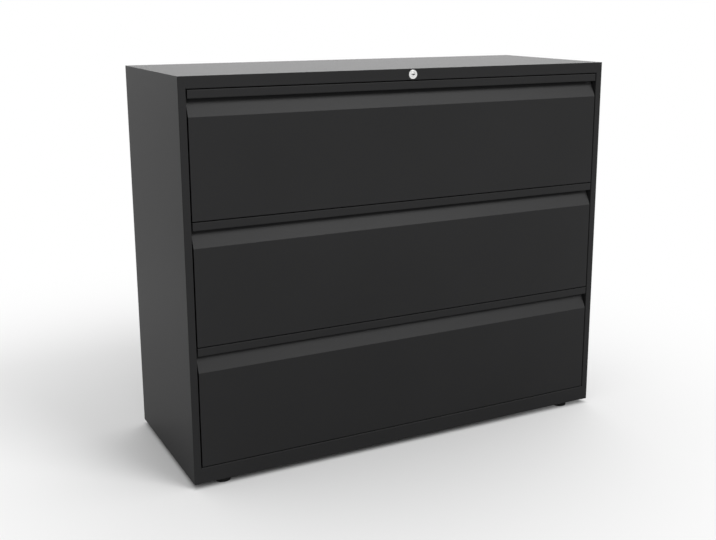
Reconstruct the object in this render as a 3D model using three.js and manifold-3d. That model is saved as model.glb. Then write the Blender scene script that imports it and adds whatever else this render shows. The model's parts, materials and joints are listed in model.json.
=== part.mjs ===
// Lateral filing cabinet: a welded sheet-steel case with three wide suspension-file drawers,
// each on a pair of telescopic slides, and one lock that bars all the drawers.
// Millimetres, +Z up, the front faces -Y, the origin is on the floor under the middle of the case.
import * as THREE from 'three';
import { mergeVertices } from 'three/addons/utils/BufferGeometryUtils.js';
import Module from 'manifold-3d';

const wasm = await Module();
wasm.setup();

// Case
const CASE_W = 1200;
const CASE_D = 460;
const CASE_H = 984;
const SHEET = 1.25;
const BEND = 0.5;
const SEAT = 0.25;
const STILE_W = 18.5;
const STILE_RETURN = 25;
const REAR_FLANGE = 25;
const TOP_RAIL_H = 28.5;
const TOP_RAIL_RETURN = 45;
const TOP_REAR_STRIP = 22;
const PLINTH_H = 40.5;
const PLINTH_TOP_RETURN = 40;
const FOOT_RETURN = 65;
const STIFFENING_LIP = 8;

// Uprights that carry the slides
const UPRIGHT_DEPTH = 20;
const UPRIGHT_W = 40;
const UPRIGHT_FRONT_INSET = 26;
const UPRIGHT_REAR_INSET = 20;
const UPRIGHT_TOP_CLEAR = 10;
const SLOT_W = 4;
const SLOT_H = 14;
const SLOT_PITCH = 50;
const SLOT_EDGE = 8;

// Levelling feet
const FOOT_H = 13;
const FOOT_PAD_D = 40;
const FOOT_PAD_H = 10;
const FOOT_PAD_BEVEL = 2;
const FOOT_STUD_D = 10;
const FOOT_STUD_TOP = 37;
const FOOT_SIDE_INSET = 80;
const FOOT_END_INSET = 28;

// Drawers, counted from the top
const DRAWER_COUNT = 3;
const FRONT_GAP = 2;
const SIDE_GAP = 3;
const LIP_H = 20;
const LIP_HEM = 5;
const RECESS_OPENING = 42;
const RECESS_DEPTH = 25;
const SLANT_BEHIND_LIP = 12;
const END_PLATE_INSET = 1.5;
const LINER_EDGE = 2;
const TRAY_RISE = 10;
const TRAY_SIDE_H = 190;
const TRAY_SIDE_FLANGE = 10;
const TRAY_BACK_CLEAR = 13;
const FILE_RAIL_TOP = 255;
const FILE_RAIL_LIP = 10;
const FILE_RAIL_REACH = 12;
const FILE_RAIL_FOOT = 20;

// Telescopic slides
const SLIDE_SPARE = 60;
const SLIDE_LENGTH = CASE_D - SLIDE_SPARE;
const SLIDE_SPACE = 13;
const SLIDE_H = 45;
const SLIDE_SHEET = 1.25;
const SLIDE_PLAY = 0.5;
const SLIDE_RISE = 80;
const SLIDE_FRONT_CLEAR = 2;
const TRACK_RISE = 1;
const TRACK_RUN = 1.75;
const TRACK_FLAT = 1.5;

// Lock and locking bars
const LOCK_BEZEL_D = 23;
const LOCK_BEZEL_H = 3;
const LOCK_BEZEL_BEVEL = 1;
const LOCK_BODY_D = 18;
const LOCK_BODY_L = 22;
const PLUG_D = 12;
const PLUG_SINK = 0.5;
const PLUG_PLAY = 0.2;
const PLUG_SHOULDER = 1;
const PLUG_TAIL_D = 6;
const KEYWAY_L = 7;
const KEYWAY_W = 1.8;
const KEYWAY_DEEP = 12;
const CAM_T = 2;
const CAM_R = 5;
const PIN_D = 4;
const PIN_PLAY = 0.5;
const PIN_OVERRUN = 1;
const CUT_OVERRUN = 1;
const LOCK_TRAVEL = 10;
const BAR_T = 2;
const BAR_H = 20;
const BAR_GAP = 2.5;
const BAR_END = 5;
const LOCK_BAR_W = 18;
const LOCK_BAR_INSET = 36;
const LOCK_BAR_PLAY = 0.75;
const LOCK_BAR_BOTTOM = 90;
const LOCK_EAR_H = 10;
const TAB_INSET = 4;
const TAB_L = 12;
const TAB_T = 3;
const TAB_H = 10;
const TAB_PLAY = 1;
const CATCH_DROP = 30;
const CATCH_RISE = TRAY_SIDE_H - CATCH_DROP;
const CATCH_L = 10;
const CATCH_H = 14;
const CATCH_T = 2;
const CATCH_FOOT = 20;
const CATCH_CLEAR = 2;

// Facets
const ROUND_STEPS = 32;
const SHEET_BEND_STEPS = 3;
const SLIDE_BEND_STEPS = 1;

// Planes of the case
const HALF_W = CASE_W / 2;
const FRONT_Y = -CASE_D / 2;
const BACK_Y = CASE_D / 2;
const CASE_BOTTOM = FOOT_H;
const CASE_TOP = FOOT_H + CASE_H;
const TOP_UNDERSIDE = CASE_TOP - SHEET;
const RAIL_BOTTOM = CASE_TOP - TOP_RAIL_H;
const PLINTH_TOP = CASE_BOTTOM + PLINTH_H;
const OPENING_HALF = HALF_W - STILE_W;
const SIDE_INNER = HALF_W - SHEET;
const BACK_PANEL_Y = BACK_Y - 2 * SHEET - SEAT;
const BASE_RAIL_Y = BACK_PANEL_Y - SEAT;
const BASE_PANEL_TOP = PLINTH_TOP + SHEET;
const UPRIGHT_FACE = HALF_W - UPRIGHT_DEPTH;
const FRONT_UPRIGHT_Y = FRONT_Y + UPRIGHT_FRONT_INSET;
const REAR_UPRIGHT_Y = BACK_Y - UPRIGHT_REAR_INSET - UPRIGHT_W;
const UPRIGHT_BOTTOM = BASE_PANEL_TOP + SEAT;
const UPRIGHT_TOP = RAIL_BOTTOM - UPRIGHT_TOP_CLEAR;

// Planes of a drawer, with z measured from the lower edge of its front
const FRONT_H = (RAIL_BOTTOM - PLINTH_TOP - FRONT_GAP * (DRAWER_COUNT + 1)) / DRAWER_COUNT;
const FRONT_HALF_W = OPENING_HALF - SIDE_GAP;
const LIP_BOTTOM = FRONT_H - LIP_H;
const CREASE_Z = LIP_BOTTOM - RECESS_OPENING;
const RECESS_WALL_Y = FRONT_Y + RECESS_DEPTH;
const PAN_REAR_Y = RECESS_WALL_Y + SHEET;
const LINER_Y = PAN_REAR_Y + SEAT;
const TRAY_FRONT_Y = LINER_Y + SHEET + SEAT;
const TRAY_BACK_Y = BACK_PANEL_Y - TRAY_BACK_CLEAR;
const TRAY_HALF_W = UPRIGHT_FACE - SLIDE_SPACE;
const SLIDE_FRONT_Y = TRAY_FRONT_Y + SLIDE_FRONT_CLEAR;
const TRACK_S = SLIDE_SPACE / 2 + SEAT;
const SLIDE_STEP = SLIDE_SHEET + SLIDE_PLAY;

// Planes of the lock
const LOCK_Z = CASE_TOP - TOP_RAIL_H / 2;
const LOCK_FACE_Y = FRONT_Y - LOCK_BEZEL_H;
const LOCK_BODY_END = FRONT_Y + LOCK_BODY_L;
const CAM_Y = LOCK_BODY_END + PLUG_SHOULDER + SEAT;
const TRANSFER_Y = CAM_Y + CAM_T + BAR_GAP;
const TRANSFER_REAR_Y = TRANSFER_Y + BAR_T;
const CAM_PIN_X = LOCK_TRAVEL / 2;
const CAM_PIN_RADIUS = LOCK_TRAVEL / Math.SQRT2;
const PIN_SLOT_R = PIN_D / 2 + PIN_PLAY;
const BAR_BOTTOM = RAIL_BOTTOM + SHEET + SEAT;
const LOCK_BAR_X = UPRIGHT_FACE + SHEET + LOCK_BAR_PLAY;
const LOCK_BAR_Y = FRONT_Y + LOCK_BAR_INSET;
const EAR_Y = TRANSFER_REAR_Y + PIN_PLAY;
const EAR_BOTTOM = BAR_BOTTOM + PIN_PLAY;
const LIFT_PIN_X = -UPRIGHT_FACE + PIN_D / 2;
const LIFT_PIN_Z = EAR_BOTTOM + LOCK_EAR_H / 2;
const TAB_Y = LOCK_BAR_Y + TAB_INSET;
const TAB_RISE = CATCH_RISE - CATCH_CLEAR - TAB_H;
const CATCH_Y = TAB_Y + TAB_T + TAB_PLAY;

// Finishes
const paint = new THREE.MeshStandardMaterial({ color: 0x2f3032, roughness: 0.55, metalness: 0.1 });
const zinc = new THREE.MeshStandardMaterial({ color: 0xb4b8ba, roughness: 0.35, metalness: 0.9 });
const chrome = new THREE.MeshStandardMaterial({ color: 0xd9dadb, roughness: 0.2, metalness: 1.0 });
const footPlastic = new THREE.MeshStandardMaterial({ color: 0x161616, roughness: 0.7, metalness: 0.0 });

// Axes of an outline's two directions and of its extrusion
const OUTLINE_BASIS = {
  x: [new THREE.Vector3(0, 1, 0), new THREE.Vector3(0, 0, 1), new THREE.Vector3(1, 0, 0)],
  y: [new THREE.Vector3(1, 0, 0), new THREE.Vector3(0, 0, 1), new THREE.Vector3(0, -1, 0)],
  z: [new THREE.Vector3(1, 0, 0), new THREE.Vector3(0, 1, 0), new THREE.Vector3(0, 0, 1)],
};

// Closed geometry as a solid that can be joined and cut
function solid(geometry) {
  const bare = geometry.clone();
  bare.deleteAttribute('normal');
  bare.deleteAttribute('uv');
  const merged = mergeVertices(bare);
  const corners = merged.index.array;
  const triangles = [];
  for (let i = 0; i < corners.length; i += 3) {
    const [a, b, c] = corners.slice(i, i + 3);
    if (a !== b && b !== c && c !== a) triangles.push(a, b, c);
  }
  const mesh = new wasm.Mesh({
    numProp: 3,
    vertProperties: new Float32Array(merged.attributes.position.array),
    triVerts: new Uint32Array(triangles),
  });
  return new wasm.Manifold(mesh);
}

// Outline drawn in the plane across an axis and extruded along it: (y, z), (x, z) or (x, y)
function extrude(outline, axis, from, to) {
  const shape = new THREE.Shape(outline.map(([u, v]) => new THREE.Vector2(u, v)));
  const geometry = new THREE.ExtrudeGeometry(shape, { depth: to - from, bevelEnabled: false });
  const start = axis === 'y' ? -to : from;
  geometry.translate(0, 0, start);
  geometry.applyMatrix4(new THREE.Matrix4().makeBasis(...OUTLINE_BASIS[axis]));
  return solid(geometry);
}

function box([x0, x1], [y0, y1], [z0, z1]) {
  const geometry = new THREE.BoxGeometry(Math.abs(x1 - x0), Math.abs(y1 - y0), Math.abs(z1 - z0));
  geometry.translate((x0 + x1) / 2, (y0 + y1) / 2, (z0 + z1) / 2);
  return solid(geometry);
}

// Revolved profile of (radius, height) points, standing on the Z axis
function turned(profile) {
  const points = profile.map(([radius, height]) => new THREE.Vector2(radius, height));
  return solid(new THREE.LatheGeometry(points, ROUND_STEPS).rotateX(Math.PI / 2));
}

// Round bar along Z
function bar(radius, from, to) {
  const geometry = new THREE.CylinderGeometry(radius, radius, to - from, ROUND_STEPS);
  return solid(geometry.rotateX(Math.PI / 2).translate(0, 0, (from + to) / 2));
}

// Turns a piece made along Z so that its top points to the front, about a point (x, z)
function towardsFront(body, x, z) {
  return body.rotate([90, 0, 0]).translate([x, 0, z]);
}

// Outline of a round-ended slot or lever between two points
function capsule([u0, v0], [u1, v1], radius) {
  const lean = Math.atan2(v1 - v0, u1 - u0);
  const half = ROUND_STEPS / 2;
  const end = (u, v, start) => Array.from({ length: half + 1 }, (_, step) => {
    const angle = lean + start + (Math.PI * step) / half;
    return [u + radius * Math.cos(angle), v + radius * Math.sin(angle)];
  });
  return [...end(u0, v0, Math.PI / 2), ...end(u1, v1, -Math.PI / 2)];
}

// Outline of a sheet folded along a path, with round bends: a positive thickness lies to the left
function foldedSheet(path, thickness, bend = BEND, steps = SHEET_BEND_STEPS) {
  const points = path.map(([u, v]) => new THREE.Vector2(u, v));
  const near = [];
  const far = [];
  points.forEach((corner, i) => {
    const before = i > 0 ? corner.clone().sub(points[i - 1]).normalize() : null;
    const after = i < points.length - 1 ? points[i + 1].clone().sub(corner).normalize() : null;
    const along = before ?? after;
    const left = new THREE.Vector2(-along.y, along.x);
    if (!before || !after) {
      near.push(corner);
      far.push(corner.clone().addScaledVector(left, thickness));
      return;
    }
    const turn = Math.atan2(before.cross(after), before.dot(after));
    const side = Math.sign(turn);
    const radius = bend + (side === Math.sign(thickness) ? Math.abs(thickness) : 0);
    const reach = radius * Math.tan(Math.abs(turn) / 2);
    const centre = corner.clone().addScaledVector(before, -reach).addScaledVector(left, side * radius);
    for (let step = 0; step <= steps; step += 1) {
      const out = left.clone().multiplyScalar(-side);
      out.rotateAround(new THREE.Vector2(), (turn * step) / steps);
      near.push(centre.clone().addScaledVector(out, radius));
      far.push(centre.clone().addScaledVector(out, radius - side * thickness));
    }
  });
  return [...near, ...far.reverse()].map((point) => [point.x, point.y]);
}

// Named mesh of a finished solid
function piece(name, body, material) {
  const { vertProperties, triVerts } = body.getMesh();
  const geometry = new THREE.BufferGeometry();
  geometry.setAttribute('position', new THREE.Float32BufferAttribute(vertProperties, 3));
  geometry.setIndex(new THREE.Uint32BufferAttribute(triVerts, 1));
  geometry.computeVertexNormals();
  const mesh = new THREE.Mesh(geometry, material);
  mesh.name = name;
  return mesh;
}

const SIDES = [['left', -1], ['right', 1]];
const ENDS = [['front', -1], ['rear', 1]];
const drawerBottom = (index) => RAIL_BOTTOM - (FRONT_H + FRONT_GAP) * (index + 1);

// Side panel: rear flange, skin, front stile and its return in one folded sheet
function sidePanel(side) {
  const path = [
    [side * (HALF_W - REAR_FLANGE), BACK_Y],
    [side * HALF_W, BACK_Y],
    [side * HALF_W, FRONT_Y],
    [side * OPENING_HALF, FRONT_Y],
    [side * OPENING_HALF, FRONT_Y + STILE_RETURN],
  ];
  const skin = extrude(foldedSheet(path, -side * SHEET), 'z', CASE_BOTTOM, CASE_TOP);
  const topSeat = box(
    [0, side * SIDE_INNER],
    [FRONT_Y - SHEET, BACK_Y + SHEET],
    [TOP_UNDERSIDE, CASE_TOP + SHEET],
  );
  return skin.subtract(topSeat);
}

// Top panel with the front rail folded down from it and a hole for the lock
function topPanel() {
  const plate = box([-SIDE_INNER, SIDE_INNER], [FRONT_Y, BACK_Y], [TOP_UNDERSIDE, CASE_TOP]);
  const railPath = [
    [FRONT_Y, CASE_TOP],
    [FRONT_Y, RAIL_BOTTOM],
    [FRONT_Y + TOP_RAIL_RETURN, RAIL_BOTTOM],
    [FRONT_Y + TOP_RAIL_RETURN, RAIL_BOTTOM + STIFFENING_LIP],
  ];
  const rail = extrude(foldedSheet(railPath, SHEET), 'x', -OPENING_HALF, OPENING_HALF);
  const lockHole = towardsFront(bar(LOCK_BODY_D / 2 + SEAT, -BACK_Y, BACK_Y + SHEET), 0, LOCK_Z);
  const frontOnly = box([-HALF_W, HALF_W], [FRONT_Y - SHEET, FRONT_Y + 2 * SHEET], [0, CASE_TOP]);
  return plate.add(rail).subtract(lockHole.intersect(frontOnly));
}

// Strip welded under the rear edge of the top panel, between the rear flanges of the side panels
function topRearStrip() {
  const half = HALF_W - REAR_FLANGE - SEAT;
  const rise = [CASE_TOP - TOP_REAR_STRIP, TOP_UNDERSIDE - SEAT];
  return box([-half, half], [BACK_Y - SHEET, BACK_Y], rise);
}

// Bottom rail, front or rear: a channel whose lower return takes the levelling feet
function baseRail(outerY, inward, halfWidth) {
  const returnY = outerY + inward * FOOT_RETURN;
  const path = [
    [outerY + inward * PLINTH_TOP_RETURN, PLINTH_TOP],
    [outerY, PLINTH_TOP],
    [outerY, CASE_BOTTOM],
    [returnY, CASE_BOTTOM],
    [returnY, CASE_BOTTOM + STIFFENING_LIP],
  ];
  let rail = extrude(foldedSheet(path, inward * SHEET), 'x', -halfWidth, halfWidth);
  for (const [, side] of SIDES) {
    const hole = bar(FOOT_STUD_D / 2 + SEAT, CASE_BOTTOM - SHEET, CASE_BOTTOM + 2 * SHEET);
    rail = rail.subtract(hole.translate([...footPlace(side, -inward), 0]));
  }
  return rail;
}

function footPlace(side, end) {
  return [side * (HALF_W - FOOT_SIDE_INSET), end * (BACK_Y - FOOT_END_INSET)];
}

function basePanel() {
  const half = SIDE_INNER - SEAT;
  return box([-half, half], [FRONT_Y + STILE_RETURN + SEAT, BASE_RAIL_Y], [PLINTH_TOP, BASE_PANEL_TOP]);
}

function backPanel() {
  const half = SIDE_INNER - SEAT;
  return box([-half, half], [BACK_PANEL_Y, BACK_PANEL_Y + SHEET], [CASE_BOTTOM, TOP_UNDERSIDE - SEAT]);
}

// Slotted upright: a channel that stands against the side panel
function upright(side, frontY) {
  const outer = SIDE_INNER - SEAT;
  const path = [
    [side * outer, frontY],
    [side * UPRIGHT_FACE, frontY],
    [side * UPRIGHT_FACE, frontY + UPRIGHT_W],
    [side * outer, frontY + UPRIGHT_W],
  ];
  let channel = extrude(foldedSheet(path, -side * SHEET), 'z', UPRIGHT_BOTTOM, UPRIGHT_TOP);
  const slotY = frontY + UPRIGHT_W - SLOT_EDGE;
  const through = [side * (UPRIGHT_FACE - SHEET), side * (UPRIGHT_FACE + 2 * SHEET)];
  for (let z = UPRIGHT_BOTTOM + SLOT_PITCH / 2; z + SLOT_H < UPRIGHT_TOP; z += SLOT_PITCH) {
    channel = channel.subtract(box(through, [slotY - SLOT_W, slotY], [z, z + SLOT_H]));
  }
  return channel;
}

// Openings in the left front upright for the tabs of the lock bar, over their whole travel
function tabOpenings(channel) {
  const through = [-(UPRIGHT_FACE - SHEET), -(UPRIGHT_FACE + 2 * SHEET)];
  let cut = channel;
  for (let index = 0; index < DRAWER_COUNT; index += 1) {
    const tabZ = drawerBottom(index) + TAB_RISE;
    const span = [tabZ - TAB_PLAY, tabZ + TAB_H + LOCK_TRAVEL + TAB_PLAY];
    cut = cut.subtract(box(through, [TAB_Y - TAB_PLAY, TAB_Y + TAB_T + TAB_PLAY], span));
  }
  return cut;
}

// Levelling foot: a round pad with a stud
function foot() {
  const pad = FOOT_PAD_D / 2;
  const stud = FOOT_STUD_D / 2;
  return turned([
    [0, 0],
    [pad - FOOT_PAD_BEVEL, 0],
    [pad, FOOT_PAD_BEVEL],
    [pad, FOOT_PAD_H - FOOT_PAD_BEVEL],
    [pad - FOOT_PAD_BEVEL, FOOT_PAD_H],
    [stud, FOOT_PAD_H],
    [stud, FOOT_STUD_TOP],
    [0, FOOT_STUD_TOP],
  ]);
}

// Drawer front: lower return, face, slanted pull recess, top and lip folded from one sheet, ends closed
function drawerFront() {
  const path = [
    [PAN_REAR_Y, 0],
    [FRONT_Y, 0],
    [FRONT_Y, CREASE_Z],
    [RECESS_WALL_Y, LIP_BOTTOM + SLANT_BEHIND_LIP],
    [RECESS_WALL_Y, FRONT_H - SHEET],
    [FRONT_Y + SHEET, FRONT_H - SHEET],
    [FRONT_Y + SHEET, LIP_BOTTOM + SHEET],
    [FRONT_Y + SHEET + LIP_HEM, LIP_BOTTOM + SHEET],
  ];
  let front = extrude(foldedSheet(path, -SHEET), 'x', -FRONT_HALF_W, FRONT_HALF_W);
  const endRear = PAN_REAR_Y - SHEET / 2;
  const alongSheet = foldedSheet([[endRear, 0], ...path.slice(1, 4)], -SHEET / 2);
  const end = alongSheet.slice(alongSheet.length / 2);
  for (const [, side] of SIDES) {
    const outer = side * (FRONT_HALF_W - END_PLATE_INSET);
    const inner = outer - side * SHEET;
    front = front.add(extrude(end, 'x', Math.min(inner, outer), Math.max(inner, outer)));
  }
  return front;
}

function frontLiner() {
  const half = FRONT_HALF_W - LINER_EDGE;
  return box([-half, half], [LINER_Y, LINER_Y + SHEET], [LINER_EDGE, FRONT_H - LINER_EDGE]);
}

// Front file rail: a folded bar on the liner with an upstanding edge for the file hooks
function frontFileRail() {
  const shelf = FILE_RAIL_TOP - FILE_RAIL_LIP;
  const path = [
    [TRAY_FRONT_Y, shelf - FILE_RAIL_FOOT],
    [TRAY_FRONT_Y, shelf],
    [TRAY_FRONT_Y + FILE_RAIL_REACH, shelf],
    [TRAY_FRONT_Y + FILE_RAIL_REACH, FILE_RAIL_TOP],
  ];
  return extrude(foldedSheet(path, -SHEET), 'x', -TRAY_HALF_W, TRAY_HALF_W);
}

// Tray: bottom and both sides in one sheet, with a flange along the top of each side
function tray() {
  const top = TRAY_RISE + TRAY_SIDE_H;
  const path = [
    [-TRAY_HALF_W + TRAY_SIDE_FLANGE, top],
    [-TRAY_HALF_W, top],
    [-TRAY_HALF_W, TRAY_RISE],
    [TRAY_HALF_W, TRAY_RISE],
    [TRAY_HALF_W, top],
    [TRAY_HALF_W - TRAY_SIDE_FLANGE, top],
  ];
  return extrude(foldedSheet(path, SHEET), 'y', TRAY_FRONT_Y, TRAY_BACK_Y);
}

// Catch: a bracket on the left side of the tray that meets the lock bar's tab
function lockCatch() {
  const wall = -TRAY_HALF_W - SEAT;
  const path = [
    [wall, CATCH_Y + CATCH_FOOT],
    [wall, CATCH_Y],
    [wall - CATCH_L, CATCH_Y],
  ];
  return extrude(foldedSheet(path, -CATCH_T), 'z', CATCH_RISE, CATCH_RISE + CATCH_H);
}

// Drawer back with the rear file rail folded from its top edge
function drawerBack() {
  const faceY = TRAY_BACK_Y + SEAT;
  const shelf = FILE_RAIL_TOP - FILE_RAIL_LIP;
  const path = [
    [faceY, TRAY_RISE],
    [faceY, shelf],
    [faceY - FILE_RAIL_REACH, shelf],
    [faceY - FILE_RAIL_REACH, FILE_RAIL_TOP],
  ];
  return extrude(foldedSheet(path, -SHEET), 'x', -TRAY_HALF_W, TRAY_HALF_W);
}

// Slide member: a channel with a rolled track in each flange, its web at one depth and its tips at another
function slideMember(side, webS, tipS, level) {
  const flange = SLIDE_H / 2 - TRACK_RISE - level * SLIDE_STEP;
  const towardsWeb = Math.sign(webS - tipS);
  const upper = [
    [tipS, flange],
    [TRACK_S - towardsWeb * (TRACK_FLAT / 2 + TRACK_RUN), flange],
    [TRACK_S - towardsWeb * (TRACK_FLAT / 2), flange + TRACK_RISE],
    [TRACK_S + towardsWeb * (TRACK_FLAT / 2), flange + TRACK_RISE],
    [TRACK_S + towardsWeb * (TRACK_FLAT / 2 + TRACK_RUN), flange],
    [webS, flange],
  ];
  const lower = upper.map(([s, z]) => [s, -z]).reverse();
  const section = foldedSheet([...upper, ...lower], -towardsWeb * SLIDE_SHEET, BEND, SLIDE_BEND_STEPS);
  const outline = section.map(([s, z]) => [side * (UPRIGHT_FACE - s), SLIDE_RISE + z]);
  return extrude(outline, 'y', SLIDE_FRONT_Y, SLIDE_FRONT_Y + SLIDE_LENGTH);
}

function slideMembers(side) {
  const caseWeb = SEAT;
  const middleWeb = caseWeb + SLIDE_STEP;
  const drawerWeb = SLIDE_SPACE - SEAT;
  const middleTip = drawerWeb - SLIDE_STEP;
  return {
    case_slide: slideMember(side, caseWeb, drawerWeb - SLIDE_SHEET, 0),
    middle_slide: slideMember(side, middleWeb, middleTip, 1),
    drawer_slide: slideMember(side, drawerWeb, middleWeb + SLIDE_STEP, 2),
  };
}

function lockHousing() {
  const bore = PLUG_D / 2 + PLUG_PLAY;
  const bezel = LOCK_BEZEL_D / 2;
  const body = LOCK_BODY_D / 2;
  const profile = [
    [bore, -LOCK_BODY_END],
    [body, -LOCK_BODY_END],
    [body, SEAT - FRONT_Y],
    [bezel, SEAT - FRONT_Y],
    [bezel, -LOCK_FACE_Y - LOCK_BEZEL_BEVEL],
    [bezel - LOCK_BEZEL_BEVEL, -LOCK_FACE_Y],
    [bore, -LOCK_FACE_Y],
    [bore, -LOCK_BODY_END],
  ];
  return towardsFront(turned(profile), 0, LOCK_Z);
}

// Lock plug: a turned core with a keyway in its face and a tail for the cam
function lockPlug() {
  const faceY = LOCK_FACE_Y + PLUG_SINK;
  const core = turned([
    [0, -(CAM_Y + CAM_T)],
    [PLUG_TAIL_D / 2, -(CAM_Y + CAM_T)],
    [PLUG_TAIL_D / 2, -(CAM_Y - SEAT)],
    [PLUG_D / 2, -(CAM_Y - SEAT)],
    [PLUG_D / 2, -faceY],
    [0, -faceY],
  ]);
  const keyway = box(
    [-KEYWAY_L / 2, KEYWAY_L / 2],
    [faceY - CUT_OVERRUN, faceY + KEYWAY_DEEP],
    [LOCK_Z - KEYWAY_W / 2, LOCK_Z + KEYWAY_W / 2],
  );
  return towardsFront(core, 0, LOCK_Z).subtract(keyway);
}

// Cam: a lever on the plug's tail with the pin that drives the transfer bar
function lockCam() {
  const pinPlace = [CAM_PIN_X, LOCK_Z - CAM_PIN_X];
  const lever = extrude(capsule([0, LOCK_Z], pinPlace, CAM_R), 'y', CAM_Y, CAM_Y + CAM_T);
  const through = [-(CAM_Y + CAM_T + CUT_OVERRUN), -(CAM_Y - CUT_OVERRUN)];
  const tailHole = bar(PLUG_TAIL_D / 2 + SEAT, ...through);
  const pin = bar(PIN_D / 2, -(TRANSFER_REAR_Y + PIN_OVERRUN), -(CAM_Y + CAM_T / 2));
  return lever.subtract(towardsFront(tailHole, 0, LOCK_Z)).add(towardsFront(pin, ...pinPlace));
}

// Transfer bar: an upright slot for the cam pin, and a sloping one that lifts the lock bar
function transferBar() {
  const left = LIFT_PIN_X - PIN_SLOT_R - BAR_END;
  const right = CAM_PIN_X + PIN_SLOT_R + BAR_END;
  const strip = box([left, right], [TRANSFER_Y, TRANSFER_REAR_Y], [BAR_BOTTOM, BAR_BOTTOM + BAR_H]);
  const camSlot = capsule(
    [CAM_PIN_X, LOCK_Z - CAM_PIN_RADIUS],
    [CAM_PIN_X, LOCK_Z - CAM_PIN_X],
    PIN_SLOT_R,
  );
  const liftSlot = capsule(
    [LIFT_PIN_X, LIFT_PIN_Z],
    [LIFT_PIN_X + LOCK_TRAVEL, LIFT_PIN_Z + LOCK_TRAVEL],
    PIN_SLOT_R,
  );
  const across = [TRANSFER_Y - BAR_T, TRANSFER_REAR_Y + BAR_T];
  return strip.subtract(extrude(camSlot, 'y', ...across)).subtract(extrude(liftSlot, 'y', ...across));
}

// Lock bar: a strip in the left front upright and an ear with the lift pin
function lockBar() {
  const stripX = [-LOCK_BAR_X - BAR_T, -LOCK_BAR_X];
  const earTop = EAR_BOTTOM + LOCK_EAR_H;
  const rearY = LOCK_BAR_Y + LOCK_BAR_W;
  const strip = box(stripX, [LOCK_BAR_Y, rearY], [LOCK_BAR_BOTTOM, earTop]);
  const neck = box(stripX, [EAR_Y, rearY], [EAR_BOTTOM, earTop]);
  const earX = [-LOCK_BAR_X - BAR_T, LIFT_PIN_X + PIN_D];
  const ear = box(earX, [EAR_Y, EAR_Y + BAR_T], [EAR_BOTTOM, earTop]);
  const pin = bar(PIN_D / 2, -(EAR_Y + BAR_T / 2), -(TRANSFER_Y - PIN_OVERRUN));
  return strip.add(neck).add(ear).add(towardsFront(pin, LIFT_PIN_X, LIFT_PIN_Z));
}

// Tab of the lock bar for one drawer, through its opening in the upright
function lockTab() {
  const tabX = [-LOCK_BAR_X + SEAT, -UPRIGHT_FACE + TAB_L];
  return box(tabX, [TAB_Y, TAB_Y + TAB_T], [TAB_RISE, TAB_RISE + TAB_H]);
}

// Assembly
const cabinet = new THREE.Group();
for (const [word, side] of SIDES) {
  cabinet.add(piece(`${word}_side_panel`, sidePanel(side), paint));
  const front = upright(side, FRONT_UPRIGHT_Y);
  cabinet.add(piece(`front_${word}_upright`, side < 0 ? tabOpenings(front) : front, paint));
  cabinet.add(piece(`rear_${word}_upright`, upright(side, REAR_UPRIGHT_Y), paint));
}
cabinet.add(piece('top_panel', topPanel(), paint));
cabinet.add(piece('top_rear_strip', topRearStrip(), paint));
cabinet.add(piece('plinth_rail', baseRail(FRONT_Y, 1, OPENING_HALF), paint));
cabinet.add(piece('rear_base_rail', baseRail(BASE_RAIL_Y, -1, SIDE_INNER - SEAT), paint));
cabinet.add(piece('base_panel', basePanel(), paint));
cabinet.add(piece('back_panel', backPanel(), paint));

for (const [endWord, end] of ENDS) {
  for (const [sideWord, side] of SIDES) {
    const place = footPlace(side, end);
    const pad = piece(`foot_${endWord}_${sideWord}`, foot(), footPlastic);
    pad.position.set(...place, 0);
    cabinet.add(pad);
  }
}

cabinet.add(piece('lock_housing', lockHousing(), chrome));
cabinet.add(piece('lock_plug', lockPlug(), chrome));
cabinet.add(piece('lock_cam', lockCam(), zinc));
cabinet.add(piece('lock_transfer_bar', transferBar(), zinc));
cabinet.add(piece('lock_bar', lockBar(), zinc));

for (let index = 0; index < DRAWER_COUNT; index += 1) {
  const drawer = new THREE.Group();
  const name = `drawer_${index + 1}`;
  drawer.add(piece(`${name}_front`, drawerFront(), paint));
  drawer.add(piece(`${name}_liner`, frontLiner(), paint));
  drawer.add(piece(`${name}_file_rail`, frontFileRail(), zinc));
  drawer.add(piece(`${name}_tray`, tray(), paint));
  drawer.add(piece(`${name}_back`, drawerBack(), paint));
  drawer.add(piece(`${name}_lock_catch`, lockCatch(), zinc));
  drawer.add(piece(`lock_tab_${index + 1}`, lockTab(), zinc));
  for (const [word, side] of SIDES) {
    for (const [member, body] of Object.entries(slideMembers(side))) {
      drawer.add(piece(`${name}_${word}_${member}`, body, zinc));
    }
  }
  drawer.position.z = drawerBottom(index);
  cabinet.add(drawer);
}

export default cabinet;
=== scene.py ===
"""Looks of a lateral filing cabinet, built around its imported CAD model.

The sheet metal, slides and lock linkage are CAD nodes and get their finishes here. The lock's face,
the levelling feet and the small pressed, welded and screwed details are modelled here and ride on the
CAD bodies. Metres, +Z up, the front faces -Y, the origin is on the floor under the middle of the case.
"""
import json
import math

import bmesh
import bpy
from bpy.props import FloatProperty, FloatVectorProperty, IntProperty, PointerProperty
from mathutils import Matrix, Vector


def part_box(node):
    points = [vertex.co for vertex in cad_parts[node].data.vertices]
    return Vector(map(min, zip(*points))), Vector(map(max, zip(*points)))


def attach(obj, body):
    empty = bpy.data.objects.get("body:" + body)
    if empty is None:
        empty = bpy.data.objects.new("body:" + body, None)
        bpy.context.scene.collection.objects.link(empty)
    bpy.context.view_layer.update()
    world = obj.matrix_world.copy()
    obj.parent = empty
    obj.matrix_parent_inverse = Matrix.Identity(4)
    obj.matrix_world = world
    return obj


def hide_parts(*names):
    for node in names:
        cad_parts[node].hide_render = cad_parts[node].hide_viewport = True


bl_info = {
    "name": "Lateral filing cabinet",
    "version": (1, 0, 0),
    "blender": (4, 5, 0),
    "location": "3D View > Sidebar > Cabinet",
    "description": "Finishes, small fittings and studio for a three-drawer lateral filing cabinet",
    "category": "Object",
}

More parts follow.
